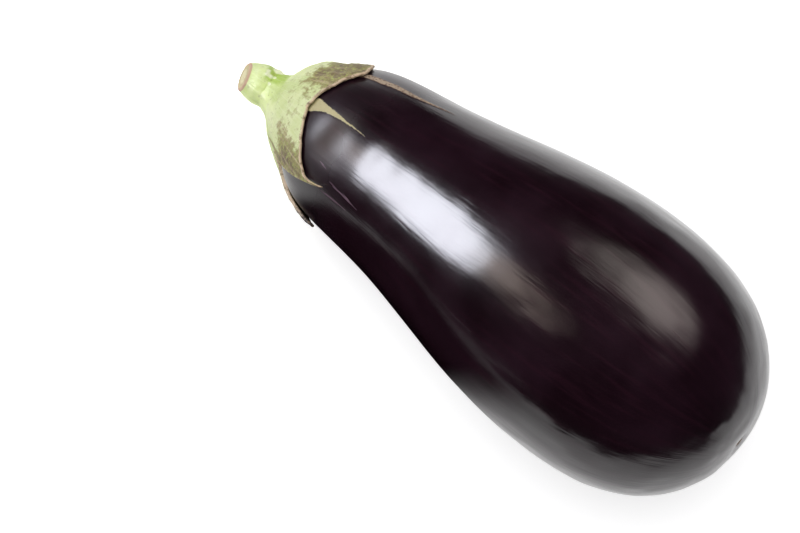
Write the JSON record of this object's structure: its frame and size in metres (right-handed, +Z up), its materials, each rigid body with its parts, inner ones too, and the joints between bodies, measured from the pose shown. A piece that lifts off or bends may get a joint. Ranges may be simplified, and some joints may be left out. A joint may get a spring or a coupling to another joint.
{
  "type": "eggplant",
  "caption": "Whole half-long eggplant with a leathery lobed calyx and a cut stem stub, lying on its side; fresh produce for a kitchen, shop or table scene.",
  "frame": {"origin": "on the surface that the eggplant lies on, under the middle of its bounding box", "axes": "+X along the length towards the blossom end, with the stem at -X; +Z up"},
  "size_m": [0.2276, 0.0952, 0.0982],
  "materials": {
    "skin": "waxy, near-black aubergine purple skin with a clear gloss, faint length-wise streaks and two corky tan scars at the shoulder",
    "calyx": "dull grey-green leathery calyx, wrinkled, with brown dried tips and a thin cream edge",
    "stem": "pale yellow-green fleshy stem, satin, ribbed and warty, with a dry beige cut end"
  },
  "bodies": {
    "root": {"fruit": "skin", "calyx": "calyx", "stem": "stem"}
  },
  "joints": []
}
